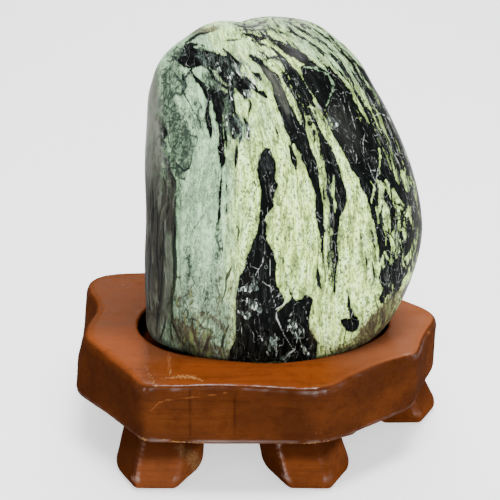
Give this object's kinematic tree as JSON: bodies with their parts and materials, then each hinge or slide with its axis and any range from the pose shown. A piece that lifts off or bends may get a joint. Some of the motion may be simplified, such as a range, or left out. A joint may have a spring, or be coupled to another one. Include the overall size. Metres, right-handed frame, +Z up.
{
  "type": "scholar's rock on a wooden stand",
  "caption": "Upright river boulder of banded black and pale green stone, polished, resting in a recess on a carved, lacquered wooden stand with splayed feet.",
  "frame": {"origin": "middle of the stand's footprint, on the surface it stands on", "axes": "+Z up; the broad banded face of the stone and the straight front edge of the stand look along -Y; +X is the stone's bulging side"},
  "size_m": [0.2066, 0.166, 0.2276],
  "materials": {
    "stone": "satin",
    "slab_wood": "satin",
    "foot_wood": "satin"
  },
  "bodies": {
    "root": {"stone": "stone", "stand_slab": "slab_wood", "foot_front_left": "foot_wood", "foot_front_right": "foot_wood", "foot_right": "foot_wood", "foot_back": "foot_wood", "foot_back_left": "foot_wood"}
  },
  "joints": []
}
